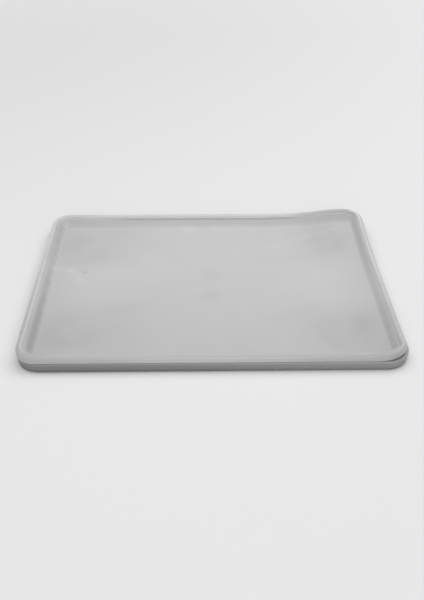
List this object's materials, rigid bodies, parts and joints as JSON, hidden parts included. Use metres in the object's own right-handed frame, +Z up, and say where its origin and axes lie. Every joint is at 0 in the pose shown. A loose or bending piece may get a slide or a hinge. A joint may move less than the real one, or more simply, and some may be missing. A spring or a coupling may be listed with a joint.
{
  "type": "wet palette",
  "caption": "Large shallow wet palette: moulded milky plastic tray with a press-on dished lid over a reservoir sponge and a sheet of palette paper.",
  "frame": {"origin": "on the table surface under the middle of the tray", "axes": "+X along the length, left to right; +Y from the front edge to the back; +Z up, the way the lid lifts off"},
  "size_m": [0.3698, 0.2748, 0.0175],
  "materials": {
    "tray_plastic": "milky translucent polyethylene with a satin moulded skin",
    "lid_plastic": "milky translucent polyethylene with a satin moulded skin",
    "sponge": "damp open-cell cellulose sponge",
    "palette_paper": "smooth damp parchment paper"
  },
  "bodies": {
    "tray": {"tray": "tray_plastic"},
    "lid": {"lid": "lid_plastic"},
    "palette_sheet": {"palette_sheet": "palette_paper"},
    "sponge": {"sponge": "sponge"}
  },
  "joints": [
    {"name": "lid_lift", "type": "slide", "parent": "tray", "child": "lid", "axis": [0, 0, 1], "range_m": [0, 0.15]},
    {"name": "sheet_lift", "type": "slide", "parent": "tray", "child": "palette_sheet", "axis": [0, 0, 1], "range_m": [0, 0.09]},
    {"name": "sponge_lift", "type": "slide", "parent": "tray", "child": "sponge", "axis": [0, 0, 1], "range_m": [0, 0.045]}
  ],
  "couplings": [
    {"joint": "sheet_lift", "follows": "lid_lift", "ratio": 0.6},
    {"joint": "sponge_lift", "follows": "lid_lift", "ratio": 0.3}
  ]
}
